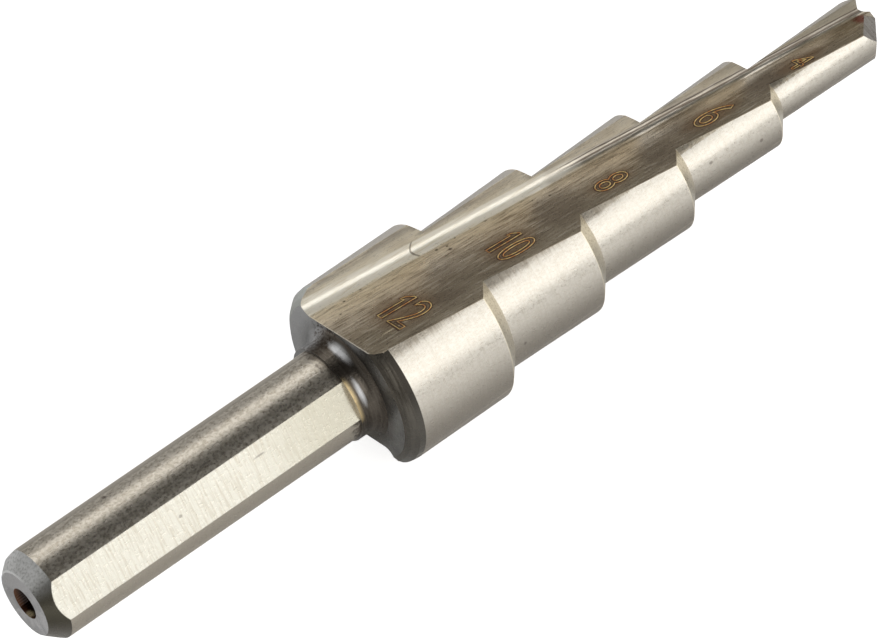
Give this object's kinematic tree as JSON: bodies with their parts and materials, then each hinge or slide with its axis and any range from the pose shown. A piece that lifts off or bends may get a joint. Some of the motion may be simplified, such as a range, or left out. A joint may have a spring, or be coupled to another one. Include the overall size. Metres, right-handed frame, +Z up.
{
  "type": "step drill",
  "caption": "Slim step drill bit with stepped relieved lands, straight V-shaped flutes, a faceted point and a round shank with ground chuck flats.",
  "frame": {"origin": "on the drill axis at the shank's end face", "axes": "+X along the drill axis towards the point, +Z up with the drill lying on the edges of its lower flute, +Y to the side"},
  "size_m": [0.0652, 0.0118, 0.0098],
  "materials": {
    "ground_steel": "bright ground high speed steel with fine grinding marks, darker flutes and neck"
  },
  "bodies": {
    "root": {"step_drill": "ground_steel"}
  },
  "joints": []
}
